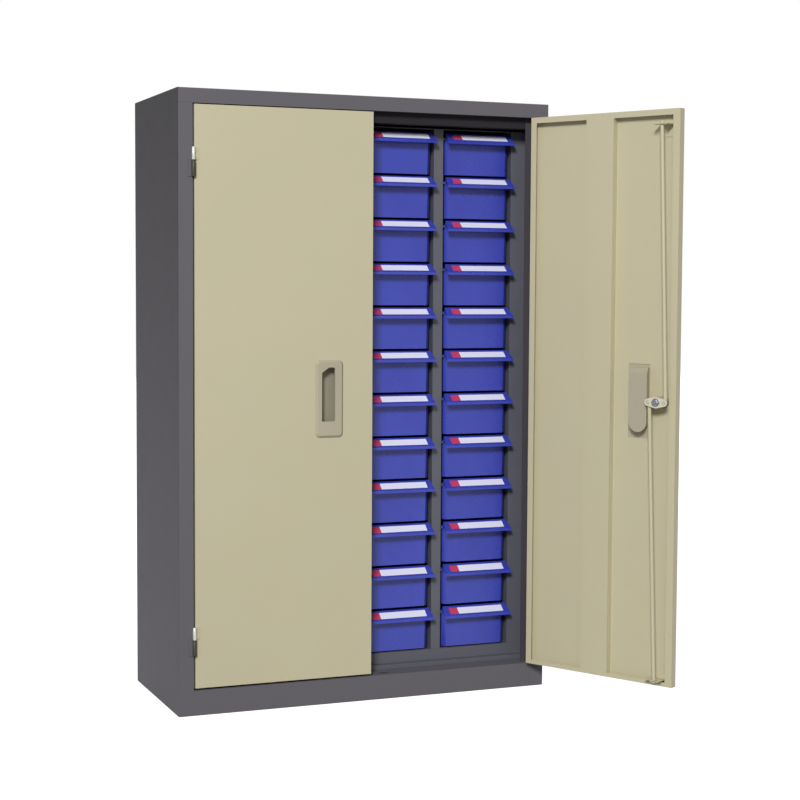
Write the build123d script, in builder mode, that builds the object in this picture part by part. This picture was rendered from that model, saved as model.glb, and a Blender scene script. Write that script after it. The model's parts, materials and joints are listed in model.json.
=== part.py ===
from build123d import *
import math
import os

# Parts bin cabinet: a free-standing sheet steel cabinet with two hinged doors, a three-point rod
# lock and a rack of pull-out plastic bins. Millimetres, +Z up, +X to the right, the front faces -Y.
# The origin is on the floor, under the middle of the cabinet.

# ---------------------------------------------------------------- carcass
WIDTH = 610.0
DEPTH = 262.0
HEIGHT = 940.0
SHEET = 1.0  # thickness of every bent sheet
PLINTH_HEIGHT = 38.0
LID_BAND = 22.0  # height of the top cover's front band
POST_FACE = 23.5  # width of the front face beside each door
STOP_SETBACK = 14.0  # door stop flange, behind the front face
STOP_FLANGE = 10.0  # width of the side stop flanges
HEADER_DROP = 17.0  # the header flange below the front band
HEADER_HEM = 20.0  # depth of the header's bottom hem
REAR_RETURN = 15.0
BACK_FLANGE = 10.0  # side flanges of the back panel
REST_RETURN = 15.0  # width of the plinth's inward flange on the floor

# ---------------------------------------------------------------- doors
DOOR_THICK = 12.0
DOOR_GAP_SIDE = 2.5
DOOR_GAP_TOP = 1.5
DOOR_GAP_BOTTOM = 3.5
MEETING_GAP = 2.0
MEETING_OFFSET = 5.0  # the left door passes the cabinet's middle by this much
DOOR_LIP_HINGE = 10.0
DOOR_LIP_FREE = 12.0
DOOR_LIP_TOP = 9.0
DOOR_LIP_BOTTOM = 6.5
STIFFENER_START = 107.0  # from the hinge axis
STIFFENER_WIDTH = 50.0
STRIP_REACH = 3.6  # the closing strip past the left door's free edge
STRIP_LAP = 14.0
STRIP_THICK = 1.5
STRIP_RELIEF = 0.4
STRIP_INSET = 18.0  # the strip stops short of the door's ends
RIGHT_DOOR_OPEN = 118.0  # degrees, as the right door stands open

# ---------------------------------------------------------------- hinges
KNUCKLE_RADIUS = 3.0
PIN_RADIUS = 1.5
PIN_CLEARANCE = 0.08
KNUCKLE_GAP = 0.3  # knuckles clear of the faces that pass them
HINGE_OUTSET = 1.0  # hinge axis, outwards from the middle of the gap beside the door
SLEEVE_LENGTH = 19.0  # upper half, on the door
LOWER_HALF_LENGTH = 24.0  # lower half with its pin, on the post
SLEEVE_LIFT = 0.3  # between the two halves
LEAF_WIDTH = 8.0
LEAF_THICK = 1.2
UPPER_HINGE_Z = 834.0
LOWER_HINGE_Z = 116.0

# ---------------------------------------------------------------- handles
HANDLE_FROM_EDGE = 71.5  # middle of the bezel and of the door's cut-out, from the free edge
HANDLE_Z = 475.5
BEZEL_WIDTH = 45.0
BEZEL_HEIGHT = 119.0
BEZEL_THICK = 4.0
BEZEL_CORNER = 7.0
BEZEL_BEVEL = 3.2
CUP_FRONT_WIDTH = 34.0
CUP_BACK_WIDTH = 32.0
CUP_LEAN = 6.5  # the cup's back, nearer the free edge than its mouth
CUP_TOP = 527.0
CUP_HEIGHT = 98.0
CUP_WALL = 2.0
CUP_BACK = 16.0  # back of the cup, behind the door's outer face
CUP_BEVEL = 8.0
SLOT_FROM_EDGE = 73.6
SLOT_WIDTH = 21.4
SLOT_TOP = 524.0
SLOT_HEIGHT = 83.0
SLOT_SLANT_WIDTH = 11.0  # the slot's upper corner on the hinge side is cut off by this much
SLOT_SLANT_DROP = 8.0
SLOT_CORNER = 2.0
CUTOUT_WIDTH = 38.0
CUTOUT_HEIGHT = 114.0

# ---------------------------------------------------------------- rod lock, on the right door
LOCK_FROM_EDGE = 28.0
LOCK_Z = 476.0
BARREL_RADIUS = 9.0
BARREL_RIM_RADIUS = 11.0
BARREL_RIM_THICK = 2.0
BARREL_BACK = 20.5
BARREL_CLEARANCE = 0.5
CAM_GAP = 2.0  # cam plate above the barrel
CAM_THICK = 2.0
CAM_ARM = 14.0
CAM_WAIST_RADIUS = 8.7
CAM_END_RADIUS = 5.5
CAM_NUT_RADIUS = 5.7
CAM_NUT_HEIGHT = 3.0
PLUG_RADIUS = 4.0
PLUG_CLEARANCE = 0.08
ROD_RADIUS = 3.0
ROD_BEHIND_FACE = 19.0  # rod axis, behind the door's outer face
ROD_BEND = 2.2
ROD_PIN_PROUD = 1.0
ROD_PIN_CLEARANCE = 0.08
GUIDE_OFFSET = 1.0  # guide slots from the cam's centre, towards the free edge
GUIDE_WIDTH = 26.0
GUIDE_SLOT = 15.0
GUIDE_CLEARANCE = 0.6
GUIDE_MARGIN = 2.0
GUIDE_FOOT = 18.0
UPPER_TIP_GAP = 2.5  # withdrawn upper rod, below the header hem
LOWER_TIP_GAP = 9.0  # withdrawn lower rod, above the bottom panel
ROD_PAST_GUIDE = 4.0

# ---------------------------------------------------------------- bins and their rack
COLUMNS = 4
ROWS = 12
COLUMN_PITCH = 136.0
ROW_PITCH = 69.3
RACK_SETBACK = 50.0  # rack front, and the bins' front walls, behind the cabinet's front
RACK_BACK_GAP = 12.0
CHANNEL_WIDTH = 16.0
RACK_TOP_GAP = 41.0  # rack's top sheet below the cabinet's top
RACK_STEP_SETBACK = 36.0
RACK_STEP_HEIGHT = 7.0
RACK_RAIL_HEIGHT = 17.0
RUNNER_THICK = 2.0
RUNNER_REACH = 3.4
BIN_FLOOR_GAP = 2.4  # bottom bins above the rack's rail
BIN_WIDTH = 111.0
BIN_LENGTH = 195.0
BIN_HEIGHT = 59.0
BIN_WALL = 2.0
BIN_DRAFT = 1.0  # degrees
BIN_CORNER = 6.0  # cut across the two front corners
RIM_CLEARANCE = 1.0
RIM_THICK = 2.0
LIP_WIDTH = 118.0
LIP_TOP = 65.6
LIP_REACH = 18.0
LIP_DROP = 17.0
LIP_NOSE = 4.0
LIP_THICK = 2.2

# ---------------------------------------------------------------- places worked out from them
FRONT = -DEPTH / 2
BACK = DEPTH / 2
BAND_BOTTOM = HEIGHT - LID_BAND
POST_INNER = WIDTH / 2 - POST_FACE
HEM_BOTTOM = BAND_BOTTOM - HEADER_DROP
HINGE_X = POST_INNER - DOOR_GAP_SIDE / 2 + HINGE_OUTSET
HINGE_AHEAD = KNUCKLE_RADIUS + KNUCKLE_GAP
HINGE_Y = FRONT - HINGE_AHEAD
DOOR_START = DOOR_GAP_SIDE / 2 + HINGE_OUTSET  # door edge from the hinge axis
DOOR_BOTTOM = PLINTH_HEIGHT + DOOR_GAP_BOTTOM
DOOR_TOP = BAND_BOTTOM - DOOR_GAP_TOP
LEFT_DOOR_END = HINGE_X + MEETING_OFFSET  # free edge from the hinge axis
RIGHT_DOOR_END = HINGE_X - MEETING_OFFSET - MEETING_GAP
CAM_FRONT = BARREL_BACK + CAM_GAP
LOCK_U = RIGHT_DOOR_END - LOCK_FROM_EDGE
GUIDE_U = LOCK_U + GUIDE_OFFSET
UPPER_TIP_Z = HEM_BOTTOM - UPPER_TIP_GAP
LOWER_TIP_Z = PLINTH_HEIGHT + LOWER_TIP_GAP
UPPER_GUIDE_Z = UPPER_TIP_Z - ROD_PAST_GUIDE - SHEET
LOWER_GUIDE_Z = LOWER_TIP_Z + ROD_PAST_GUIDE
RACK_FRONT = FRONT + RACK_SETBACK
RACK_BACK = BACK - RACK_BACK_GAP
RAIL_BOTTOM = PLINTH_HEIGHT + RACK_STEP_HEIGHT
RAIL_TOP = RAIL_BOTTOM + RACK_RAIL_HEIGHT
RACK_TOP = HEIGHT - RACK_TOP_GAP
FIRST_BIN_Z = RAIL_TOP + BIN_FLOOR_GAP
CELL_HALF = (COLUMN_PITCH - CHANNEL_WIDTH) / 2
RIM_HALF = CELL_HALF - RIM_CLEARANCE
RUNNER_TOP = BIN_HEIGHT - RIM_THICK  # above each bin's floor
ROD_HOLE_X = HINGE_X - GUIDE_U
ROD_HOLE_Y = FRONT + ROD_BEHIND_FACE

os.makedirs("parts", exist_ok=True)


def keep(part, name):
    """Labels a finished piece and writes its file."""
    part.label = name
    export_step(part, f"parts/{name}.step")


def folded(points, side):
    """The section of a bent sheet whose outer face follows the points."""
    with BuildSketch() as section:
        with BuildLine():
            outer = Polyline(*points)
            offset(outer, amount=SHEET, kind=Kind.INTERSECTION, side=side)
        make_face()
    return section.sketch


# ---------------------------------------------------------------- base plinth
def make_base_plinth():
    """Bottom panel with aprons all round and an inward flange that stands on the floor."""
    front_width = 2 * POST_INNER
    inner_width = WIDTH - 2 * SHEET
    with BuildPart() as plinth:
        with BuildSketch() as footprint:
            with Locations((0, SHEET / 2 + STOP_SETBACK / 2)):
                Rectangle(inner_width, DEPTH - SHEET - STOP_SETBACK - 2 * SHEET)
            with Locations((0, FRONT + DEPTH / 4)):
                Rectangle(front_width, DEPTH / 2)
        extrude(amount=PLINTH_HEIGHT)
        with BuildSketch():
            offset(footprint.sketch, amount=-SHEET, kind=Kind.INTERSECTION)
        extrude(amount=PLINTH_HEIGHT - SHEET, mode=Mode.SUBTRACT)
        with BuildSketch():
            add(footprint.sketch)
            offset(footprint.sketch, amount=-REST_RETURN, kind=Kind.INTERSECTION, mode=Mode.SUBTRACT)
        extrude(amount=SHEET)
        with BuildSketch(Plane.XY.offset(PLINTH_HEIGHT - SHEET)):
            with Locations((ROD_HOLE_X, ROD_HOLE_Y)):
                SlotOverall(GUIDE_SLOT, 2 * (ROD_RADIUS + GUIDE_CLEARANCE))
        extrude(amount=SHEET, mode=Mode.SUBTRACT)
    return plinth.part


# ---------------------------------------------------------------- side panels
def make_side_panel():
    """Right side panel: bent skin, front post, door stop, and the two lower hinge halves."""
    skin_x = WIDTH / 2
    profile = [
        (skin_x - REAR_RETURN, BACK),
        (skin_x, BACK),
        (skin_x, FRONT),
        (POST_INNER, FRONT),
        (POST_INNER, FRONT + STOP_SETBACK + SHEET),
    ]
    with BuildPart() as panel:
        add(extrude(folded(profile, Side.RIGHT), amount=BAND_BOTTOM))
        with BuildSketch(Plane.XY.offset(PLINTH_HEIGHT)):
            with Locations((POST_INNER + SHEET, FRONT + STOP_SETBACK)):
                Rectangle(STOP_FLANGE + SHEET, SHEET, align=(Align.MAX, Align.MIN))
        extrude(amount=BAND_BOTTOM - PLINTH_HEIGHT)
        upper = [
            (skin_x - REAR_RETURN, BACK),
            (skin_x, BACK),
            (skin_x, FRONT + SHEET),
        ]
        with BuildSketch(Plane.XY.offset(BAND_BOTTOM)):
            add(folded(upper, Side.RIGHT))
        extrude(amount=LID_BAND - SHEET)
        for middle in (UPPER_HINGE_Z, LOWER_HINGE_Z):
            with BuildSketch(Plane.XY.offset(middle - LOWER_HALF_LENGTH)):
                with Locations((HINGE_X, HINGE_Y)):
                    Circle(KNUCKLE_RADIUS)
                with Locations((HINGE_X + KNUCKLE_GAP, FRONT)):
                    Rectangle(LEAF_WIDTH, LEAF_THICK, align=(Align.MIN, Align.MAX))
            extrude(amount=LOWER_HALF_LENGTH)
            with BuildSketch(Plane.XY.offset(middle)):
                with Locations((HINGE_X, HINGE_Y)):
                    Circle(PIN_RADIUS)
            extrude(amount=SLEEVE_LENGTH - SLEEVE_LIFT)
    return panel.part


# ---------------------------------------------------------------- top cover
def make_top_cover():
    """Top sheet with its front band, the header that stops the doors, and a hem for the rod."""
    section = [
        (BACK, HEIGHT),
        (FRONT, HEIGHT),
        (FRONT, BAND_BOTTOM),
        (FRONT + STOP_SETBACK, BAND_BOTTOM),
        (FRONT + STOP_SETBACK, HEM_BOTTOM),
        (FRONT + STOP_SETBACK + HEADER_HEM, HEM_BOTTOM),
    ]
    inner_half = WIDTH / 2 - SHEET
    header_half = POST_INNER - STOP_FLANGE
    with BuildPart() as cover:
        with BuildSketch(Plane.YZ.offset(-WIDTH / 2)):
            add(folded(section, Side.LEFT))
        extrude(amount=WIDTH)
        # the ends are cut back for the side panels' skins and for the posts
        for side in (-1, 1):
            with BuildSketch(Plane.XY.offset(HEM_BOTTOM)):
                with Locations((side * (header_half + WIDTH / 4), FRONT + DEPTH / 2)):
                    Rectangle(WIDTH / 2, DEPTH)
            extrude(amount=HEADER_DROP, mode=Mode.SUBTRACT)
            with BuildSketch(Plane.XY.offset(BAND_BOTTOM)):
                with Locations((side * (inner_half + SHEET / 2), FRONT + SHEET)):
                    Rectangle(SHEET, DEPTH - SHEET, align=(Align.CENTER, Align.MIN))
            extrude(amount=LID_BAND - SHEET, mode=Mode.SUBTRACT)
        with BuildSketch(Plane.XY.offset(HEM_BOTTOM)):
            with Locations((ROD_HOLE_X, ROD_HOLE_Y)):
                SlotOverall(GUIDE_SLOT, 2 * (ROD_RADIUS + GUIDE_CLEARANCE))
        extrude(amount=SHEET, mode=Mode.SUBTRACT)
    return cover.part


# ---------------------------------------------------------------- back panel
def make_back_panel():
    """Shallow tray that stands on the plinth inside the side panels' rear returns."""
    half = WIDTH / 2 - SHEET
    with BuildPart() as back:
        profile = [
            (half, BACK - SHEET - BACK_FLANGE),
            (half, BACK - SHEET),
            (-half, BACK - SHEET),
            (-half, BACK - SHEET - BACK_FLANGE),
        ]
        with BuildSketch(Plane.XY.offset(PLINTH_HEIGHT)):
            add(folded(profile, Side.LEFT))
        extrude(amount=HEIGHT - SHEET - PLINTH_HEIGHT)
    return back.part


# ---------------------------------------------------------------- bin rack
def make_rack_base():
    """Bent tray under the bins: a step, then the rail that the bottom bins stand above."""
    section = [
        (FRONT + RACK_STEP_SETBACK, PLINTH_HEIGHT),
        (FRONT + RACK_STEP_SETBACK, RAIL_BOTTOM),
        (RACK_FRONT, RAIL_BOTTOM),
        (RACK_FRONT, RAIL_TOP),
        (RACK_BACK, RAIL_TOP),
        (RACK_BACK, PLINTH_HEIGHT),
    ]
    half = WIDTH / 2 - SHEET
    with BuildPart() as tray:
        with BuildSketch(Plane.YZ.offset(-half)):
            add(folded(section, Side.RIGHT))
        extrude(amount=2 * half)
    return tray.part


def make_channel(left, right, runner_sides):
    """Upright channel, open at the back, with a runner for every bin it carries."""
    with BuildPart() as channel:
        profile = [(left, RACK_BACK), (left, RACK_FRONT), (right, RACK_FRONT), (right, RACK_BACK)]
        with BuildSketch(Plane.XY.offset(RAIL_TOP)):
            add(folded(profile, Side.LEFT))
        extrude(amount=RACK_TOP - SHEET - RAIL_TOP)
        for row in range(ROWS):
            runner_z = FIRST_BIN_Z + row * ROW_PITCH + RUNNER_TOP - RUNNER_THICK
            for side in runner_sides:
                edge = left if side < 0 else right
                align = (Align.MAX if side < 0 else Align.MIN, Align.MIN)
                with BuildSketch(Plane.XY.offset(runner_z)):
                    with Locations((edge, RACK_FRONT + SHEET)):
                        Rectangle(RUNNER_REACH, RACK_BACK - RACK_FRONT - SHEET, align=align)
                extrude(amount=RUNNER_THICK)
    return channel.part


def make_drawer_rack():
    """All the rack's sheets, each its own solid."""
    pieces = [make_rack_base()]
    for number in range(1, COLUMNS):
        middle = (number - COLUMNS / 2) * COLUMN_PITCH
        pieces.append(make_channel(middle - CHANNEL_WIDTH / 2, middle + CHANNEL_WIDTH / 2, (-1, 1)))
    outer = COLUMNS / 2 * COLUMN_PITCH - CHANNEL_WIDTH / 2
    wall = WIDTH / 2 - SHEET
    pieces.append(make_channel(outer, wall, (-1,)))
    pieces.append(make_channel(-wall, -outer, (1,)))
    with BuildPart() as roof:
        with BuildSketch(Plane.XY.offset(RACK_TOP - SHEET)):
            with Locations((0, RACK_FRONT)):
                Rectangle(2 * wall, RACK_BACK - RACK_FRONT, align=(Align.CENTER, Align.MIN))
        extrude(amount=SHEET)
    pieces.append(roof.part)
    return Compound(children=pieces)


# ---------------------------------------------------------------- bins
def make_label_lip():
    """The sloping label lip, flared from the front wall's width towards its nose."""
    lip_edge = LIP_TOP - LIP_DROP
    wall_top = BIN_HEIGHT - RIM_THICK
    section = [
        (BIN_WALL, wall_top),
        (BIN_WALL, LIP_TOP),
        (0, LIP_TOP),
        (-LIP_REACH + LIP_NOSE / 2, lip_edge + LIP_NOSE),
        (-LIP_REACH, lip_edge),
        (-LIP_REACH + LIP_THICK, lip_edge),
        (-LIP_REACH + LIP_NOSE / 2 + LIP_THICK, lip_edge + LIP_NOSE - LIP_THICK / 2),
        (0, LIP_TOP - 1.5 * LIP_THICK),
        (0, wall_top),
    ]
    plan = [
        (LIP_WIDTH / 2, -LIP_REACH),
        (BIN_WIDTH / 2, 0),
        (BIN_WIDTH / 2, BIN_WALL),
        (-BIN_WIDTH / 2, BIN_WALL),
        (-BIN_WIDTH / 2, 0),
        (-LIP_WIDTH / 2, -LIP_REACH),
    ]
    with BuildPart() as lip:
        with BuildSketch(Plane.YZ.offset(-LIP_WIDTH / 2)):
            Polygon(*section, align=None)
        extrude(amount=LIP_WIDTH)
        with BuildSketch(Plane.XY.offset(lip_edge)):
            Polygon(*plan, align=None)
        extrude(amount=LIP_DROP, mode=Mode.INTERSECT)
    return lip.part


def make_bin_form(inset, bottom, top, corner):
    """The bin's outer form, or its hollow when it is drawn in by the wall: drafted on all sides."""
    slope = math.tan(math.radians(BIN_DRAFT))
    draw_in_top = inset + (BIN_HEIGHT - top) * slope
    draw_in_bottom = inset + (BIN_HEIGHT - bottom) * slope
    front_view = [
        (-BIN_WIDTH / 2 + draw_in_top, top),
        (BIN_WIDTH / 2 - draw_in_top, top),
        (BIN_WIDTH / 2 - draw_in_bottom, bottom),
        (-BIN_WIDTH / 2 + draw_in_bottom, bottom),
    ]
    side_view = [
        (draw_in_top, top),
        (BIN_LENGTH - draw_in_top, top),
        (BIN_LENGTH - draw_in_bottom, bottom),
        (draw_in_bottom, bottom),
    ]
    with BuildPart() as form:
        with BuildSketch(Plane.XZ):
            Polygon(*front_view, align=None)
        extrude(amount=-BIN_LENGTH)
        with BuildSketch(Plane.YZ.offset(-BIN_WIDTH / 2)):
            Polygon(*side_view, align=None)
        extrude(amount=BIN_WIDTH, mode=Mode.INTERSECT)
        front_edges = form.faces().sort_by(Axis.Y)[0].edges().sort_by(Axis.X)
        chamfer([front_edges[0], front_edges[-1]], corner)
    return form.part


def make_bin():
    """One bin: drafted box, side rims that ride on the runners, and the sloping label lip."""
    inner_corner = BIN_CORNER - BIN_WALL * (2 - math.sqrt(2))
    with BuildPart() as bin_box:
        add(make_bin_form(0, 0, BIN_HEIGHT, BIN_CORNER))
        with BuildSketch(Plane.XY.offset(RUNNER_TOP)):
            with Locations((0, BIN_LENGTH / 2)):
                Rectangle(2 * RIM_HALF, BIN_LENGTH - 2 * BIN_CORNER)
        extrude(amount=RIM_THICK)
        add(make_label_lip())
        add(make_bin_form(BIN_WALL, BIN_WALL, LIP_TOP, inner_corner), mode=Mode.SUBTRACT)
    return bin_box.part


# ---------------------------------------------------------------- doors
# A door is modelled shut, in its own frame: the hinge axis is the Z axis, the door runs along +X,
# and its outer face lies in the plane Y = HINGE_AHEAD.
def door_depth(behind_face):
    """Y in a door's frame, of a plane this far behind the outer face."""
    return HINGE_AHEAD + behind_face


def make_door(free_end):
    """Door pan with returned lips and the handle's cut-out, with its upper hinge halves."""
    height = DOOR_TOP - DOOR_BOTTOM
    width = free_end - DOOR_START
    window_width = width - DOOR_LIP_HINGE - DOOR_LIP_FREE
    with BuildPart() as door:
        with BuildSketch(Plane.XY.offset(DOOR_BOTTOM)):
            with Locations((DOOR_START, door_depth(0))):
                Rectangle(width, DOOR_THICK, align=Align.MIN)
        extrude(amount=height)
        with BuildSketch(Plane.XY.offset(DOOR_BOTTOM + SHEET)):
            with Locations((DOOR_START + SHEET, door_depth(SHEET))):
                Rectangle(width - 2 * SHEET, DOOR_THICK - 2 * SHEET, align=Align.MIN)
        extrude(amount=height - 2 * SHEET, mode=Mode.SUBTRACT)
        with BuildSketch(Plane.XY.offset(DOOR_BOTTOM + DOOR_LIP_BOTTOM)):
            with Locations((DOOR_START + DOOR_LIP_HINGE, door_depth(DOOR_THICK - SHEET))):
                Rectangle(window_width, SHEET, align=Align.MIN)
        extrude(amount=height - DOOR_LIP_BOTTOM - DOOR_LIP_TOP, mode=Mode.SUBTRACT)
        with BuildSketch(Plane.XZ.offset(-door_depth(SHEET))):
            with Locations((free_end - HANDLE_FROM_EDGE, HANDLE_Z)):
                Rectangle(CUTOUT_WIDTH, CUTOUT_HEIGHT)
        extrude(amount=SHEET, mode=Mode.SUBTRACT)
        for middle in (UPPER_HINGE_Z, LOWER_HINGE_Z):
            with BuildSketch(Plane.XY.offset(middle + SLEEVE_LIFT)):
                Circle(KNUCKLE_RADIUS)
                with Locations((KNUCKLE_GAP, door_depth(0))):
                    Rectangle(LEAF_WIDTH, LEAF_THICK, align=(Align.MIN, Align.MAX))
                Circle(PIN_RADIUS + PIN_CLEARANCE, mode=Mode.SUBTRACT)
            extrude(amount=SLEEVE_LENGTH)
    return door.part


def make_stiffener():
    """Upright channel on the inside of a door, level with the lips."""
    with BuildPart() as stiffener:
        with BuildSketch(Plane.XY.offset(DOOR_BOTTOM + SHEET)):
            with Locations((STIFFENER_START, door_depth(SHEET))):
                Rectangle(STIFFENER_WIDTH, DOOR_THICK - 2 * SHEET, align=Align.MIN)
            with Locations((STIFFENER_START + SHEET, door_depth(SHEET))):
                Rectangle(
                    STIFFENER_WIDTH - 2 * SHEET,
                    DOOR_THICK - 2 * SHEET,
                    align=Align.MIN,
                    mode=Mode.SUBTRACT,
                )
        extrude(amount=DOOR_TOP - DOOR_BOTTOM - 2 * SHEET)
        with BuildSketch(Plane.XY.offset(DOOR_BOTTOM + DOOR_LIP_BOTTOM)):
            with Locations((STIFFENER_START, door_depth(DOOR_THICK - SHEET))):
                Rectangle(STIFFENER_WIDTH, SHEET, align=Align.MIN)
        extrude(amount=DOOR_TOP - DOOR_LIP_TOP - DOOR_BOTTOM - DOOR_LIP_BOTTOM)
    return stiffener.part


def make_closing_strip():
    """Flat bar behind the left door's free edge, for the right door to shut against."""
    height = DOOR_TOP - DOOR_BOTTOM - 2 * STRIP_INSET
    with BuildPart() as strip:
        with BuildSketch(Plane.XY.offset(DOOR_BOTTOM + STRIP_INSET)):
            with Locations((LEFT_DOOR_END - STRIP_LAP, door_depth(DOOR_THICK))):
                Rectangle(STRIP_LAP + STRIP_REACH, STRIP_THICK, align=Align.MIN)
            with Locations((LEFT_DOOR_END, door_depth(DOOR_THICK))):
                Rectangle(STRIP_REACH, STRIP_RELIEF, align=Align.MIN, mode=Mode.SUBTRACT)
        extrude(amount=height)
    return strip.part


def make_guide(tab_z, foot_down):
    """Slotted tab that steadies a rod, on a foot welded to the door's skin."""
    reach = ROD_BEHIND_FACE + ROD_RADIUS + GUIDE_CLEARANCE + GUIDE_MARGIN
    with BuildPart() as guide:
        with BuildSketch(Plane.XY.offset(tab_z)):
            with Locations((GUIDE_U, door_depth(SHEET))):
                Rectangle(GUIDE_WIDTH, reach - SHEET, align=(Align.CENTER, Align.MIN))
            with Locations((GUIDE_U, door_depth(ROD_BEHIND_FACE))):
                SlotOverall(GUIDE_SLOT, 2 * (ROD_RADIUS + GUIDE_CLEARANCE), mode=Mode.SUBTRACT)
        extrude(amount=SHEET)
        foot_bottom = tab_z - GUIDE_FOOT if foot_down else tab_z + SHEET
        with BuildSketch(Plane.XY.offset(foot_bottom)):
            with Locations((GUIDE_U, door_depth(SHEET))):
                Rectangle(GUIDE_WIDTH, SHEET, align=(Align.CENTER, Align.MIN))
        extrude(amount=GUIDE_FOOT)
    return guide.part


def make_barrel_hole(door):
    """The right door, with the hole that its lock barrel passes through."""
    with BuildPart() as drilled:
        add(door)
        with BuildSketch(Plane.XZ.offset(-door_depth(SHEET))):
            with Locations((LOCK_U, LOCK_Z)):
                Circle(BARREL_RADIUS + BARREL_CLEARANCE)
        extrude(amount=SHEET, mode=Mode.SUBTRACT)
    return drilled.part


# ---------------------------------------------------------------- handles
def make_cup_form(free_end, inset):
    """The cup's outer form, or its hollow when it is drawn in by the wall."""
    with BuildPart() as form:
        sections = ((0, CUP_FRONT_WIDTH, 0), (CUP_BACK - inset, CUP_BACK_WIDTH, CUP_LEAN))
        for depth, full_width, lean in sections:
            width = full_width - 2 * inset
            middle = free_end - HANDLE_FROM_EDGE + lean
            straight = CUP_HEIGHT - 2 * inset - width / 2
            with BuildSketch(Plane.XZ.offset(-door_depth(depth))):
                with Locations((middle, CUP_TOP - inset)):
                    Rectangle(width, straight, align=(Align.CENTER, Align.MAX))
                with Locations((middle, CUP_TOP - inset - straight)):
                    Circle(width / 2)
        loft()
        top_edge = form.faces().sort_by(Axis.Y)[-1].edges().sort_by(Axis.Z)[-1]
        chamfer(top_edge, CUP_BEVEL - inset / 2)
    return form.part


def make_handle(free_end):
    """Moulded finger pull: a bezel on the outer face and a cup that passes through the door."""
    face = Plane.XZ.offset(-door_depth(0))
    with BuildPart() as handle:
        with BuildSketch(face):
            with Locations((free_end - HANDLE_FROM_EDGE, HANDLE_Z)):
                RectangleRounded(BEZEL_WIDTH, BEZEL_HEIGHT, BEZEL_CORNER)
        extrude(amount=BEZEL_THICK)
        chamfer(handle.faces().sort_by(Axis.Y)[0].edges(), BEZEL_BEVEL)
        add(make_cup_form(free_end, 0))
        add(make_cup_form(free_end, CUP_WALL), mode=Mode.SUBTRACT)
        outline = [
            (-SLOT_WIDTH / 2, -SLOT_HEIGHT),
            (SLOT_WIDTH / 2, -SLOT_HEIGHT),
            (SLOT_WIDTH / 2, 0),
            (SLOT_SLANT_WIDTH - SLOT_WIDTH / 2, 0),
            (-SLOT_WIDTH / 2, -SLOT_SLANT_DROP),
        ]
        with BuildSketch(face) as slot:
            with Locations((free_end - SLOT_FROM_EDGE, SLOT_TOP)):
                Polygon(*outline, align=None)
            fillet(slot.vertices(), SLOT_CORNER)
        extrude(amount=BEZEL_THICK, mode=Mode.SUBTRACT)
    return handle.part


def make_lock_barrel():
    """Fixed barrel of the lock, with its rim on the door's outer face."""
    with BuildPart() as barrel:
        with BuildSketch(Plane.XZ.offset(-door_depth(0))):
            with Locations((LOCK_U, LOCK_Z)):
                Circle(BARREL_RIM_RADIUS)
        extrude(amount=BARREL_RIM_THICK)
        with BuildSketch(Plane.XZ.offset(-door_depth(0))):
            with Locations((LOCK_U, LOCK_Z)):
                Circle(BARREL_RADIUS)
        extrude(amount=-BARREL_BACK)
        with BuildSketch(Plane.XZ.offset(-door_depth(BARREL_BACK))):
            with Locations((LOCK_U, LOCK_Z)):
                Circle(PLUG_RADIUS + PLUG_CLEARANCE)
        extrude(amount=BARREL_BACK, mode=Mode.SUBTRACT)
    return barrel.part


# ---------------------------------------------------------------- rod lock
def make_lock_cam():
    """Turning plug, the oval cam plate on it and the nut that holds the plate."""
    plate_plane = Plane.XZ.offset(-door_depth(CAM_FRONT + CAM_THICK))
    with BuildPart() as cam:
        with BuildSketch(plate_plane):
            with Locations((LOCK_U, LOCK_Z)):
                Circle(CAM_WAIST_RADIUS)
            with Locations((LOCK_U - CAM_ARM, LOCK_Z), (LOCK_U + CAM_ARM, LOCK_Z)):
                Circle(CAM_END_RADIUS)
            make_hull()
            with Locations((LOCK_U - CAM_ARM, LOCK_Z), (LOCK_U + CAM_ARM, LOCK_Z)):
                Circle(ROD_RADIUS + ROD_PIN_CLEARANCE, mode=Mode.SUBTRACT)
        extrude(amount=CAM_THICK)
        with BuildSketch(Plane.XZ.offset(-door_depth(CAM_FRONT))):
            with Locations((LOCK_U, LOCK_Z)):
                Circle(PLUG_RADIUS)
        extrude(amount=CAM_FRONT)
        with BuildSketch(Plane.XZ.offset(-door_depth(CAM_FRONT + CAM_THICK))):
            with Locations((LOCK_U, LOCK_Z)):
                RegularPolygon(CAM_NUT_RADIUS, 6)
        extrude(amount=-CAM_NUT_HEIGHT)
    return cam.part


def make_rod(pin_u, tip):
    """Lock rod: straight from its tip to the cam, where its end turns into the cam's hole."""
    depth = door_depth(ROD_BEHIND_FACE)
    along = Vector(tip[0] - pin_u, 0, tip[1] - LOCK_Z).normalized()
    pin_end = Vector(pin_u, door_depth(CAM_FRONT + CAM_THICK + ROD_PIN_PROUD), LOCK_Z)
    tip_end = Vector(tip[0], depth, tip[1])
    corner = Vector(pin_u, depth, LOCK_Z)
    inward = (pin_end - corner).normalized()
    with BuildPart() as rod:
        with BuildLine() as route:
            Polyline(tip_end, corner + along * ROD_BEND, corner + inward * ROD_BEND, pin_end)
        with BuildSketch(Plane(origin=tip_end, z_dir=-along)):
            Circle(ROD_RADIUS)
        sweep(transition=Transition.RIGHT)
    return rod.part


def rod_tip(guide_z, tip_z, pin_u):
    """Where a withdrawn rod ends, on the line from its pin through its guide slot."""
    lean = (GUIDE_U - pin_u) / (guide_z - LOCK_Z)
    return (pin_u + lean * (tip_z - LOCK_Z), tip_z)


# ---------------------------------------------------------------- placing
LEFT_SHUT = Location((-HINGE_X, HINGE_Y, 0))
RIGHT_SHUT = Location((HINGE_X, HINGE_Y, 0))
RIGHT_OPENED = RIGHT_SHUT * Location((0, 0, 0), (0, 0, RIGHT_DOOR_OPEN))


def place_left(piece):
    return piece.moved(LEFT_SHUT)


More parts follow.
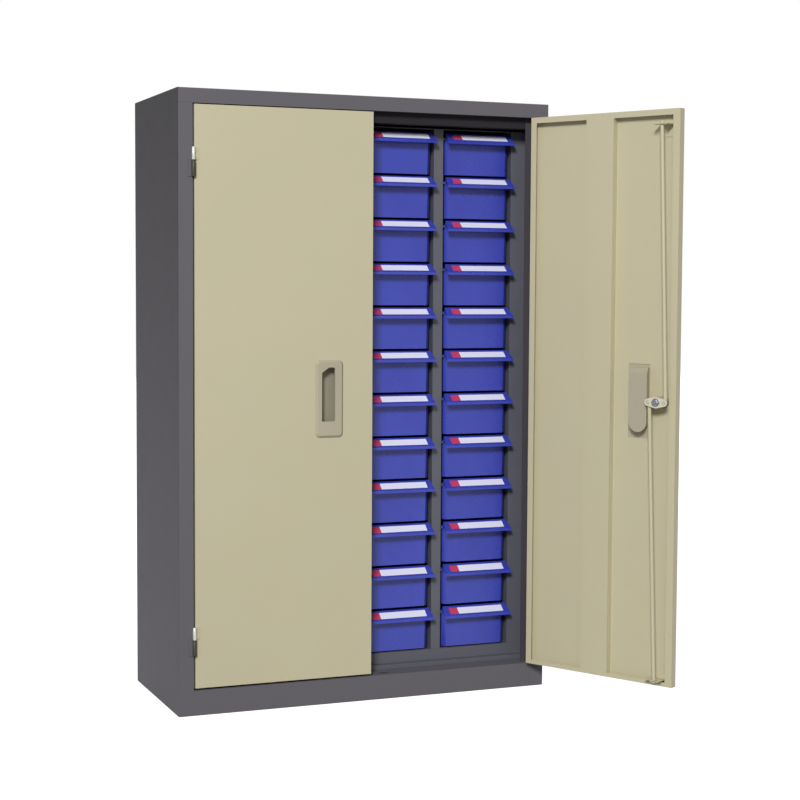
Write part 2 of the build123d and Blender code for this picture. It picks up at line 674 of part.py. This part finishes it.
def place_right(piece):
    return mirror(piece, about=Plane.YZ).moved(RIGHT_OPENED)


def main():
    right_side = make_side_panel()
    keep(Compound(children=[right_side, mirror(right_side, about=Plane.YZ)]), "side_panels")
    keep(make_base_plinth(), "base_plinth")
    keep(make_top_cover(), "top_cover")
    keep(make_back_panel(), "back_panel")
    keep(make_drawer_rack(), "drawer_rack")

    left_pieces = [make_door(LEFT_DOOR_END), make_stiffener(), make_closing_strip()]
    keep(Compound(children=[place_left(piece) for piece in left_pieces]), "left_door")
    keep(place_left(make_handle(LEFT_DOOR_END)), "left_handle")

    right_pieces = [
        make_barrel_hole(make_door(RIGHT_DOOR_END)),
        make_stiffener(),
        make_guide(UPPER_GUIDE_Z, True),
        make_guide(LOWER_GUIDE_Z, False),
    ]
    keep(Compound(children=[place_right(piece) for piece in right_pieces]), "right_door")
    handle_pieces = [make_handle(RIGHT_DOOR_END), make_lock_barrel()]
    keep(Compound(children=[place_right(piece) for piece in handle_pieces]), "right_handle")
    keep(place_right(make_lock_cam()), "lock_cam")
    upper_pin = LOCK_U + CAM_ARM
    lower_pin = LOCK_U - CAM_ARM
    upper_tip = rod_tip(UPPER_GUIDE_Z, UPPER_TIP_Z, upper_pin)
    lower_tip = rod_tip(LOWER_GUIDE_Z, LOWER_TIP_Z, lower_pin)
    keep(place_right(make_rod(upper_pin, upper_tip)), "upper_lock_rod")
    keep(place_right(make_rod(lower_pin, lower_tip)), "lower_lock_rod")

    bin_box = make_bin()
    for column in range(COLUMNS):
        for row in range(ROWS):
            column_x = (column - (COLUMNS - 1) / 2) * COLUMN_PITCH
            place = Location((column_x, RACK_FRONT, FIRST_BIN_Z + row * ROW_PITCH))
            keep(bin_box.moved(place), f"bin_c{column + 1}_r{row + 1:02d}")


main()
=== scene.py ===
"""The looks of the parts bin cabinet, in metres and in the frame of its CAD: the coats and plastics of
its nodes, the small pieces on them, and the floor, sky, lamps and camera."""

import json
import math

import bmesh
import bpy
from mathutils import Matrix, Vector


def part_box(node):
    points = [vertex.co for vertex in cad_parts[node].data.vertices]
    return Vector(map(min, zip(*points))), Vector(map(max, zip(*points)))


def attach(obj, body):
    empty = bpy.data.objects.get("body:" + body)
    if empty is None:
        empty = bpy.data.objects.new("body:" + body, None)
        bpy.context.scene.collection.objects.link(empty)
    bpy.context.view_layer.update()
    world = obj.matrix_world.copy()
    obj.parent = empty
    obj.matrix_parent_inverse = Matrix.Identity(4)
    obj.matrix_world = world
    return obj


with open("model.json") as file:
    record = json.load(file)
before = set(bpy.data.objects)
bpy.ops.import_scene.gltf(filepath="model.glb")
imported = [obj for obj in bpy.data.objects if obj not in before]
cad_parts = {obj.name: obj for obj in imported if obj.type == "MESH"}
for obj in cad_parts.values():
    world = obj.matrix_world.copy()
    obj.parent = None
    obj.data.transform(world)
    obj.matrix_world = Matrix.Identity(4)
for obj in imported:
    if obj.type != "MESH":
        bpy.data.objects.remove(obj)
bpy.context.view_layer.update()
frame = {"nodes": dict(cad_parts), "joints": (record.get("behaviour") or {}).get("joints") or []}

# ------------------------------------------------------------------ places, from the frame
NODES = frame["nodes"]
BIN_NAMES = sorted(name for name in NODES if name.startswith("bin_"))
JOINTS = {joint["name"]: joint for joint in frame["joints"]}
cover_low, cover_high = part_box("top_cover")
FRONT, BACK = cover_low.y, cover_high.y
HALF_WIDTH, TOP = cover_high.x, cover_high.z
HINGE_X, HINGE_Y, UPPER_HINGE_Z = JOINTS["right_door_hinge"]["pos_m"]
DOOR_OPEN = -math.radians(JOINTS["right_door_hinge"]["range_deg"][0])
LOCK_Z = JOINTS["lock_turn"]["pos_m"][2]


# ------------------------------------------------------------------ node helpers
class Graph:
    """A node tree, with short ways to add and join its nodes."""

    def __init__(self, tree):
        self.tree = tree
        self.tree.nodes.clear()

    def add(self, kind, **settings):
        node = self.tree.nodes.new(kind)
        for key, value in settings.items():
            setattr(node, key, value)
        return node

    def feed(self, socket, value):
        """Gives an input a number, a colour or another node's output."""
        if isinstance(value, (int, float)):
            socket.default_value = value
        elif isinstance(value, tuple):
            socket.default_value = (*value, 1.0)
        else:
            self.tree.links.new(value, socket)

    def result(self, kind, *values, **settings):
        """The output of a new node whose inputs take these values in turn."""
        node = self.add(kind, **settings)
        for socket, value in zip(node.inputs, values):
            self.feed(socket, value)
        return node.outputs[0]

    def calc(self, operation, *values):
        return self.result("ShaderNodeMath", *values, operation=operation)

    def any_ray(self, *kinds):
        """1 on a ray of one of these kinds, 0 on the others."""
        rays = self.add("ShaderNodeLightPath")
        mask = rays.outputs[f"Is {kinds[0]} Ray"]
        for kind in kinds[1:]:
            mask = self.calc("MAXIMUM", mask, rays.outputs[f"Is {kind} Ray"])
        return mask


class Material(Graph):
    """A material's node tree, with its surface and the object's own coordinates."""

    def __init__(self, name):
        self.mat = bpy.data.materials.new(name)
        self.mat.use_nodes = True
        super().__init__(self.mat.node_tree)
        self.surface = self.add("ShaderNodeOutputMaterial").inputs["Surface"]
        self.coord = self.add("ShaderNodeTexCoord").outputs["Object"]

    def axes(self):
        """The point's X, Y and Z."""
        node = self.add("ShaderNodeSeparateXYZ")
        self.feed(node.inputs[0], self.coord)
        return node.outputs["X"], node.outputs["Y"], node.outputs["Z"]


class Coat(Material):
    """A material with one principled shader."""

    def __init__(self, name):
        super().__init__(name)
        self.shader = self.add("ShaderNodeBsdfPrincipled")
        self.feed(self.surface, self.shader.outputs[0])

    def stretched(self, scale):
        """The coordinates, scaled along each axis."""
        node = self.add("ShaderNodeMapping")
        node.inputs["Scale"].default_value = scale
        self.feed(node.inputs["Vector"], self.coord)
        return node.outputs[0]

    def noise(self, scale, detail=2.0, rough=0.5, stretch=None):
        node = self.add("ShaderNodeTexNoise")
        vector = self.coord if stretch is None else self.stretched(stretch)
        for key, value in (("Scale", scale), ("Detail", detail), ("Roughness", rough), ("Vector", vector)):
            self.feed(node.inputs[key], value)
        return node.outputs["Fac"]

    def spread(self, value, low, high, start=0.3, end=0.7):
        """What goes from start to end, brought to low to high and held there beyond them."""
        node = self.add("ShaderNodeMapRange")
        limits = (("From Min", start), ("From Max", end), ("To Min", low), ("To Max", high))
        for key, amount in (("Value", value), *limits):
            self.feed(node.inputs[key], amount)
        return node.outputs[0]

    def mix(self, share, a, b):
        """Colour a where share is 0, colour b where it is 1."""
        node = self.add("ShaderNodeMix", data_type="RGBA")
        for key, value in (("Factor", share), ("A", a), ("B", b)):
            self.feed(node.inputs[key], value)
        return node.outputs["Result"]

    def bump(self, height, strength, distance, under=None):
        """A normal that follows height, on top of the normal under it."""
        node = self.add("ShaderNodeBump")
        for key, value in (("Height", height), ("Strength", strength), ("Distance", distance)):
            self.feed(node.inputs[key], value)
        if under is not None:
            self.feed(node.inputs["Normal"], under)
        return node.outputs[0]

    def set(self, **values):
        """Sets the shader's inputs by their names, with _ for a blank."""
        for key, value in values.items():
            self.feed(self.shader.inputs[key.replace("_", " ")], value)


def shade(rgb, k):
    return tuple(min(1.0, c * k) for c in rgb)


# ------------------------------------------------------------------ kinds of finish
# what lies deeper in the carcass than its skin is inside and gets painted shade; front, plinth and left
# flank have their own skin
SKIN = 0.0016
FRONT_SKIN = 0.0045
PLINTH_SKIN_TOP = 0.034
FLANK_SKIN = 0.0012
# painted shade on the left flank: these scale its colour at the foot and at the top
FLANK_FOOT_SHADE = 0.97
FLANK_HEAD_SHADE = 0.40
# painted shade in the cup of the left pull: it fades in over this depth to this share of the deep colour
CUP_FADE = 0.006
CUP_SHADE = 0.72


def carcass_shade_mask(m, x, y, z):
    """1 on what lies within the carcass, where shade is painted, 0 on its outer skin."""
    mask = m.calc("LESS_THAN", m.calc("ABSOLUTE", x), HALF_WIDTH - SKIN)
    limits = (
        (y, "GREATER_THAN", FRONT + FRONT_SKIN),
        (y, "LESS_THAN", BACK - SKIN),
        (z, "LESS_THAN", TOP - SKIN),
        (z, "GREATER_THAN", PLINTH_SKIN_TOP),
    )
    for value, operation, limit in limits:
        mask = m.calc("MULTIPLY", mask, m.calc(operation, value, limit))
    return mask


def powder_coat(name, rgb, tint, rough, sheen=0.4, inside_shade=None):
    """Baked enamel on sheet steel: fine orange peel, slow changes of tone and thin scuffs.

    A coat given an inside colour has it as painted shade within the carcass, and a painted shade darkens
    its left flank towards the top.
    """
    m = Coat(name)
    slow = m.noise(3.1, detail=3.0, rough=0.55)
    base = m.mix(m.spread(slow, 0.0, 1.0), shade(rgb, 0.98), shade(rgb, 1.02))
    cast = m.mix(m.spread(m.noise(7.7), 0.0, 0.35), base, tint)
    scuff_field = m.noise(60.0, detail=6.0, rough=0.62, stretch=(0.35, 0.35, 2.6))
    scuffs = m.spread(scuff_field, 0.0, 0.09, start=0.68, end=0.76)
    coat = m.mix(scuffs, cast, shade(rgb, 1.35))
    if inside_shade is not None:
        x, y, z = m.axes()
        # painted shade: the left flank darkens towards its top
        flank = m.calc("LESS_THAN", x, FLANK_SKIN - HALF_WIDTH)
        height = m.spread(z, 0.0, 1.0, start=0.0, end=TOP)
        painted_flank_shade = m.mix(height, shade(rgb, FLANK_FOOT_SHADE), shade(rgb, FLANK_HEAD_SHADE))
        coat = m.mix(flank, coat, painted_flank_shade)
        # painted shade: within the carcass the coat takes its darker inside colour
        coat = m.mix(carcass_shade_mask(m, x, y, z), coat, m.mix(scuffs, inside_shade, shade(inside_shade, 1.3)))
    wave = m.bump(m.noise(9.0, detail=1.0, rough=0.4), 0.008, 0.001)
    peel = m.bump(m.noise(620.0, rough=0.45), 0.12, 0.0002, under=wave)
    dull = m.spread(m.noise(38.0, detail=3.0), *rough)
    m.set(Base_Color=coat, Roughness=dull, Normal=peel, Specular_IOR_Level=sheen)
    return m.mat


def moulded(name, rgb, deep, rough, grain=1500.0, depth=0.00005, shade_from=None):
    """Injection-moulded plastic: faint flow marks, fine spark-eroded grain, slight changes of gloss.

    Where a place is given, a painted shade darkens the plastic behind it along Y, as in the cup of a pull.
    """
    m = Coat(name)
    flow = m.noise(16.0, detail=3.0, rough=0.6, stretch=(1.0, 1.0, 0.35))
    body = m.mix(m.spread(flow, 0.0, 1.0), deep, rgb)
    batch = m.spread(m.noise(5.3, detail=0.0), 0.0, 0.3, start=0.35, end=0.65)
    tone = m.mix(batch, body, shade(rgb, 1.12))
    if shade_from is not None:
        _, y, _ = m.axes()
        behind = m.spread(y, 0.0, 1.0, start=shade_from, end=shade_from + CUP_FADE)
        tone = m.mix(behind, tone, shade(deep, CUP_SHADE))
    sink = m.bump(m.noise(24.0, detail=1.0), 0.1, 0.0009)
    gloss = m.spread(m.noise(90.0, detail=4.0, rough=0.6), *rough)
    m.set(Base_Color=tone, Roughness=gloss, Normal=m.bump(m.noise(grain), 0.25, depth, under=sink))
    return m.mat


def plated(name, rgb, dark, rough):
    """Zinc plating on steel: crystalline patches and a fine drawn grain."""
    m = Coat(name)
    cells = m.add("ShaderNodeTexVoronoi")
    m.feed(cells.inputs["Scale"], 420.0)
    m.feed(cells.inputs["Vector"], m.coord)
    patch = m.spread(cells.outputs["Distance"], 0.0, 1.0, start=0.1, end=0.7)
    grain = m.noise(900.0, detail=3.0, rough=0.6, stretch=(1.0, 1.0, 6.0))
    m.set(Base_Color=m.mix(patch, rgb, dark), Roughness=m.spread(grain, rough - 0.06, rough + 0.1))
    m.set(Normal=m.bump(grain, 0.2, 0.00004), Metallic=0.85)
    return m.mat


def card(name, rgb, dark):
    """Label card behind a clear cover: paper tone with faint fibre, under a glossy film."""
    m = Coat(name)
    fibre = m.noise(700.0, detail=5.0, rough=0.7, stretch=(1.0, 2.2, 2.2))
    m.set(Base_Color=m.mix(m.spread(fibre, 0.0, 0.6), rgb, dark))
    m.set(Roughness=m.spread(m.noise(120.0), 0.42, 0.55), Coat_Weight=0.45, Coat_Roughness=0.12)
    return m.mat


# ------------------------------------------------------------------ the finishes
DARK_GREY = {
    "rgb": (0.142, 0.133, 0.149),
    "tint": (0.137, 0.136, 0.144),
    "rough": (0.57, 0.60),
    "sheen": 0.06,
}
# both coats have painted shade within the carcass, the header's near black, and on the left flank
CARCASS = powder_coat("carcass_enamel", **DARK_GREY, inside_shade=(0.070, 0.062, 0.071))
HEADER = powder_coat("header_enamel", **DARK_GREY, inside_shade=(0.029, 0.026, 0.031))
PLINTH = powder_coat("plinth_enamel", **DARK_GREY)
DOOR = powder_coat("door_enamel", (0.560, 0.512, 0.345), (0.548, 0.516, 0.367), (0.40, 0.52))
RACK = powder_coat("rack_enamel", (0.104, 0.106, 0.130), (0.104, 0.110, 0.122), (0.45, 0.60))

BEIGE = {
    "rgb": (0.430, 0.388, 0.285),
    "deep": (0.405, 0.365, 0.270),
    "rough": (0.48, 0.60),
    "grain": 1100.0,
    "depth": 0.0001,
}
PULL = moulded("pull_beige", **BEIGE)
# the left pull's cup gets painted shade behind the front
CUP = moulded("pull_beige_cup", **BEIGE, shade_from=FRONT)
BIN = moulded("bin_blue", (0.040, 0.060, 0.430), (0.034, 0.046, 0.370), (0.26, 0.36))
# painted shade: a black block stands for the dark depth of the keyway slot
KEYWAY_SHADE = moulded("keyway_painted_shade", (0.012, 0.012, 0.013), (0.008, 0.008, 0.009), (0.50, 0.65))

ZINC = plated("zinc_cam", (0.66, 0.63, 0.52), (0.58, 0.55, 0.45), 0.42)
NUT = plated("nut_steel", (0.27, 0.27, 0.30), (0.20, 0.20, 0.23), 0.46)
SLEEVE = plated("hinge_sleeve_zinc", (0.62, 0.62, 0.58), (0.50, 0.50, 0.46), 0.36)
KNUCKLE = plated("hinge_knuckle_steel", (0.075, 0.075, 0.066), (0.055, 0.055, 0.048), 0.55)

CARD = card("label_card", (0.86, 0.86, 0.99), (0.78, 0.78, 0.95))
INDEX = card("label_index_red", (0.62, 0.05, 0.13), (0.52, 0.035, 0.10))

# ------------------------------------------------------------------ dressing the CAD nodes
WELD_REACH = 0.00002
ROUNDED_FROM = math.radians(32.0)
SHEET_EDGE = 0.0004
BIN_EDGE = 0.0006
PULL_EDGE = 0.0007
CAM_EDGE = 0.0003


def dress(node, mat):
    """Puts one material on a whole CAD node."""
    slots = NODES[node].data.materials
    slots.clear()
    slots.append(mat)


def soften(node, width, segments=2):
    """Welds a node's imported facets and rounds its edges, as a fold or a mould does."""
    weld = NODES[node].modifiers.new("weld", "WELD")
    weld.merge_threshold = WELD_REACH
    bevel = NODES[node].modifiers.new("edges", "BEVEL")
    bevel.width = width
    bevel.segments = segments
    bevel.limit_method = "ANGLE"
    bevel.angle_limit = ROUNDED_FROM
    bevel.harden_normals = True
    bevel.use_clamp_overlap = True


def flatten(node):
    """Keeps a node's large flat sheets flat in their shading."""
    flat = NODES[node].modifiers.new("flat", "WEIGHTED_NORMAL")
    flat.mode = "FACE_AREA"
    flat.weight = 100
    flat.keep_sharp = True


for node, enamel in (
    ("top_cover", HEADER),
    ("side_panels", CARCASS),
    ("back_panel", PLINTH),
    ("base_plinth", PLINTH),
    ("drawer_rack", RACK),
    ("left_door", DOOR),
):
    dress(node, enamel)
    soften(node, SHEET_EDGE)
flatten("left_door")
# rounding would crease the outer skin of the right door near its lock, so its edges stay sharp
for node in ("right_door", "upper_lock_rod", "lower_lock_rod"):
    dress(node, DOOR)
for node, plastic in (("left_handle", CUP), ("right_handle", PULL)):
    dress(node, plastic)
    soften(node, PULL_EDGE, segments=3)
dress("lock_cam", ZINC)
soften("lock_cam", CAM_EDGE)
for node in BIN_NAMES:
    dress(node, BIN)
    soften(node, BIN_EDGE)

# ------------------------------------------------------------------ helpers for the small pieces
AXES = (Vector((1, 0, 0)), Vector((0, 1, 0)), Vector((0, 0, 1)))
SMOOTH_BAND = 0.003


def new_mesh(name, build, materials):
    """A new mesh, from a function that fills a bmesh."""
    bm = bmesh.new()
    build(bm)
    mesh = bpy.data.meshes.new(name)
    bm.to_mesh(mesh)
    bm.free()
    for mat in materials:
        mesh.materials.append(mat)
    return mesh


def show(name, mesh, place=None):
    """A new object that shows a mesh, at a place given by a matrix."""
    piece = bpy.data.objects.new(name, mesh)
    bpy.context.scene.collection.objects.link(piece)
    if place is not None:
        piece.matrix_world = place
    return piece


def block(bm, low, high, edge, slot=0):
    """A block between two corners, with rounded edges."""
    old = set(bm.faces)
    made = bmesh.ops.create_cube(bm, size=1.0)
    centre = (Vector(low) + Vector(high)) / 2
    size = Vector(high) - Vector(low)
    for vert in made["verts"]:
        vert.co = vert.co * size + centre
    edges = list({line for vert in made["verts"] for line in vert.link_edges})
    bmesh.ops.bevel(bm, geom=edges, offset=edge, segments=2, profile=0.5, affect="EDGES")
    for face in bm.faces:
        if face not in old:
            face.material_index = slot


def turned(bm, centre, along, steps, sides):
    """A closed turned form about an axis through centre, from its (radius, way along the axis) steps."""
    across, over = (axis for axis in AXES if not axis.dot(along))
    loops = []
    for radius, rise in steps:
        loop = []
        for side in range(sides):
            angle = 2 * math.pi * side / sides
            spoke = across * (radius * math.cos(angle)) + over * (radius * math.sin(angle))
            loop.append(bm.verts.new(centre + spoke + along * rise))
        loops.append(loop)
    for (_, foot), (_, head), low, high in zip(steps, steps[1:], loops, loops[1:]):
        for side in range(sides):
            after = (side + 1) % sides
            face = bm.faces.new((low[side], low[after], high[after], high[side]))
            face.smooth = head - foot > SMOOTH_BAND
    bm.faces.new(list(reversed(loops[0])))
    bm.faces.new(loops[-1])
    bmesh.ops.recalc_face_normals(bm, faces=bm.faces)


# ------------------------------------------------------------------ the label on each bin's lip
# its mesh has x across, y up the lip's slope and z out of it, from the slope's upper edge
LIP_REACH = 0.018
LIP_TOP = 0.0656
SLOPE = math.atan2(0.013, 0.016)
CARD_HALF = 0.0470
CARD_LOW, CARD_HIGH = -0.0176, -0.0043
CARD_UNDER, CARD_FACE = -0.0001, 0.0005
CARD_EDGE = 0.0001
INDEX_WIDTH = 0.0150
RAIL_WIDTH = 0.0008
RAIL_UNDER, RAIL_FACE = -0.0002, 0.0009
RAIL_EDGE = 0.0003
CARD_SLOT, INDEX_SLOT, RAIL_SLOT = range(3)


def build_label(bm):
    """A blank card with a red index field at its left, in a frame of four moulded rails."""
    split = INDEX_WIDTH - CARD_HALF
    for left, right, slot in ((-CARD_HALF, split, INDEX_SLOT), (split, CARD_HALF, CARD_SLOT)):
        block(bm, (left, CARD_LOW, CARD_UNDER), (right, CARD_HIGH, CARD_FACE), CARD_EDGE, slot)
    end = CARD_HALF + RAIL_WIDTH
    rails = (
        (-end, CARD_HIGH, end, CARD_HIGH + RAIL_WIDTH),
        (-end, CARD_LOW - RAIL_WIDTH, end, CARD_LOW),
        (-end, CARD_LOW, -CARD_HALF, CARD_HIGH),
        (CARD_HALF, CARD_LOW, end, CARD_HIGH),
    )
    for left, low, right, high in rails:
        block(bm, (left, low, RAIL_UNDER), (right, high, RAIL_FACE), RAIL_EDGE, RAIL_SLOT)


label = new_mesh("label_master", build_label, (CARD, INDEX, BIN))
for name in BIN_NAMES:
    low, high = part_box(name)
    slope_top = Vector(((low.x + high.x) / 2, low.y + LIP_REACH, low.z + LIP_TOP))
    place = Matrix.Translation(slope_top) @ Matrix.Rotation(SLOPE, 4, "X")
    piece = show(name.replace("bin_", "label_"), label, place)
    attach(piece, name)

# ------------------------------------------------------------------ nut and keyway of the lock
# each door's own frame starts on its hinge axis, and its outer face is at y = DOOR_FACE
LEFT = Matrix.Translation((-HINGE_X, HINGE_Y, 0))
RIGHT = Matrix.Translation((HINGE_X, HINGE_Y, 0)) @ Matrix.Rotation(DOOR_OPEN, 4, "Z")
DOOR_FACE = FRONT - HINGE_Y
DOOR_END_X = 0.007
LOCK_INSET = 0.028
LOCK_X = DOOR_END_X + LOCK_INSET - HINGE_X
CAM_DEPTH = 0.0245
KEYWAY_HALF_WIDTH, KEYWAY_HALF_HEIGHT = 0.0007, 0.0030
KEYWAY_PROUD, KEYWAY_DEEP = 0.0001, 0.0006
KEYWAY_EDGE = 0.0002
WASHER_STEPS = ((0.0062, 0.0), (0.0062, 0.0004), (0.0060, 0.0007))
HEXAGON_STEPS = ((0.0060, 0.0007), (0.0060, 0.0031), (0.0052, 0.0035))
STUD_STEPS = ((0.0021, 0.0035), (0.0021, 0.0044), (0.0017, 0.0048))


# the keyway slot's shade, painted on a thin black block at the lock
def build_keyway(bm):
    low = (LOCK_X - KEYWAY_HALF_WIDTH, DOOR_FACE - KEYWAY_PROUD, LOCK_Z - KEYWAY_HALF_HEIGHT)
    high = (LOCK_X + KEYWAY_HALF_WIDTH, DOOR_FACE + KEYWAY_DEEP, LOCK_Z + KEYWAY_HALF_HEIGHT)
    block(bm, low, high, KEYWAY_EDGE)


def build_nut(bm):
    """Washer, hexagon nut with its corners turned off, and the stud's end, on the cam."""
    seat = Vector((LOCK_X, DOOR_FACE + CAM_DEPTH, LOCK_Z))
    for steps, sides in ((WASHER_STEPS, 24), (HEXAGON_STEPS, 6), (STUD_STEPS, 20)):
        turned(bm, seat, AXES[1], steps, sides)


nut = show("lock_cam_nut", new_mesh("lock_cam_nut", build_nut, (NUT,)), RIGHT)
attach(nut, "lock_cam")
keyway = show("lock_keyway", new_mesh("lock_keyway", build_keyway, (KEYWAY_SHADE,)), RIGHT)
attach(keyway, "lock_cam")

# ------------------------------------------------------------------ hinges
HINGE_MIDDLES = {"upper": UPPER_HINGE_Z, "lower": 0.116}
HINGE_SIDES = 28
SLEEVE_STEPS = ((0.00285, 0.0003), (0.00316, 0.0006), (0.00316, 0.0190), (0.00270, 0.0195))
KNUCKLE_STEPS = ((0.00270, -0.0244), (0.00316, -0.0240), (0.00316, -0.0004), (0.00285, -0.0001))


def hinge_half(name, steps, mat, middle, place=None):
    """One half of a hinge, turned about its middle from its (radius, height) steps."""
    mesh = new_mesh(name, lambda bm: turned(bm, middle, AXES[2], steps, HINGE_SIDES), (mat,))
    return show(name, mesh, place)


for side, door, place in (("left", "left_door", LEFT), ("right", "right_door", RIGHT)):
    for level, height in HINGE_MIDDLES.items():
        middle = Vector((0, 0, height))
        sleeve = hinge_half(f"hinge_sleeve_{side}_{level}", SLEEVE_STEPS, SLEEVE, middle, place)
        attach(sleeve, door)
        middle += place.translation
        knuckle = hinge_half(f"hinge_knuckle_{side}_{level}", KNUCKLE_STEPS, KNUCKLE, middle)
        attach(knuckle, "cabinet")

# ------------------------------------------------------------------ rivets low in the side panels
# their heads end 0.2 mm under the skin's outer face, so nothing of them shows
RIVET_Y, RIVET_Z = 0.089, 0.025
RIVET_SEAT = 0.001
RIVET_SIDES = 20
RIVET_STEPS = ((0.0026, 0.0), (0.0024, 0.0005), (0.0016, 0.0008))


def build_rivets(bm):
    for side in (-1, 1):
        seat = Vector((side * (HALF_WIDTH - RIVET_SEAT), RIVET_Y, RIVET_Z))
        turned(bm, seat, AXES[0] * side, RIVET_STEPS, RIVET_SIDES)


rivets = show("side_rivets", new_mesh("side_rivets", build_rivets, (NUT,)))
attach(rivets, "cabinet")

# ------------------------------------------------------------------ floor
# the camera and reflections see it glow beyond the cabinet's footprint; other rays see it plain grey
FLOOR_REACH = 9.0
FLOOR_DROP = 0.0004
FLOOR_GREY = (0.36, 0.36, 0.36)
FLOOR_SEEN = (0.50, 0.50, 0.50)
FLOOR_GLOW = 0.90
FOOTPRINT_MARGIN = 0.001


def floor_material():
    m = Material("floor")
    x, y, _ = m.axes()
    beyond_x = m.calc("GREATER_THAN", m.calc("ABSOLUTE", x), HALF_WIDTH - FOOTPRINT_MARGIN)
    beyond_y = m.calc("GREATER_THAN", m.calc("ABSOLUTE", y), BACK - FOOTPRINT_MARGIN)
    glow = m.add("ShaderNodeEmission")
    m.feed(glow.inputs["Strength"], m.calc("MULTIPLY", m.calc("MAXIMUM", beyond_x, beyond_y), FLOOR_GLOW))
    seen = m.result("ShaderNodeAddShader", m.result("ShaderNodeBsdfDiffuse", FLOOR_SEEN), glow.outputs[0])
    grey = m.result("ShaderNodeBsdfDiffuse", FLOOR_GREY)
    m.feed(m.surface, m.result("ShaderNodeMixShader", m.any_ray("Camera", "Glossy"), grey, seen))
    return m.mat


def build_floor(bm):
    bmesh.ops.create_grid(bm, x_segments=1, y_segments=1, size=FLOOR_REACH)


floor = show("floor", new_mesh("floor", build_floor, (floor_material(),)))
floor.location = (0, 0, -FLOOR_DROP)

# ------------------------------------------------------------------ sky: white to the eye, dim as a light
WHITE = (1.0, 1.0, 1.0)
SKY = (0.97, 0.98, 1.0)
SKY_STRENGTH = 0.22

world = bpy.data.worlds.new("studio")
world.use_nodes = True
bpy.context.scene.world = world
sky = Graph(world.node_tree)
dim = sky.result("ShaderNodeBackground", SKY, SKY_STRENGTH)
bright = sky.result("ShaderNodeBackground", WHITE, 1.0)
shown = sky.result("ShaderNodeMixShader", sky.any_ray("Camera", "Transmission", "Glossy"), dim, bright)
sky.feed(sky.add("ShaderNodeOutputWorld").inputs["Surface"], shown)


# ------------------------------------------------------------------ lamps
def area(name, place, target, size, power):
    """A square lamp at place that shines towards target."""
    data = bpy.data.lights.new(name, "AREA")
    data.shape = "SQUARE"
    data.size = size
    data.energy = power
    lamp = bpy.data.objects.new(name, data)
    bpy.context.scene.collection.objects.link(lamp)
    lamp.location = place
    lamp.rotation_euler = (Vector(target) - Vector(place)).to_track_quat("-Z", "Y").to_euler()


area("key", place=(-4.45, -7.85, 5.01), target=(0.0, -0.13, 0.47), size=2.0, power=818.0)
area("back", place=(4.60, 7.60, 4.40), target=(0.0, 0.13, 0.47), size=3.0, power=430.0)

# ------------------------------------------------------------------ camera, fitted to the photo
FOCAL_PIXELS = 1752.5
PICTURE_PIXELS = 800.0
SENSOR_MM = 36.0
CAMERA_PLACE = (-0.9786, FRONT - 2.5326, 0.6550)
YAW, PITCH, ROLL = (math.radians(angle) for angle in (-22.13, -3.84, -0.32))

optics = bpy.data.cameras.new("camera")
optics.sensor_fit = "HORIZONTAL"
optics.sensor_width = SENSOR_MM
optics.lens = FOCAL_PIXELS / PICTURE_PIXELS * SENSOR_MM
optics.clip_start = 0.05
optics.clip_end = 60.0
turn = Matrix.Rotation(YAW, 3, "Z") @ Matrix.Rotation(PITCH, 3, "X") @ Matrix.Rotation(ROLL, 3, "Y")
right, ahead, up = turn.col
camera = bpy.data.objects.new("camera", optics)
bpy.context.scene.collection.objects.link(camera)
camera.matrix_world = Matrix.Translation(CAMERA_PLACE) @ Matrix((right, up, -ahead)).transposed().to_4x4()
bpy.context.scene.camera = camera
bpy.context.scene.view_settings.view_transform = "Standard"
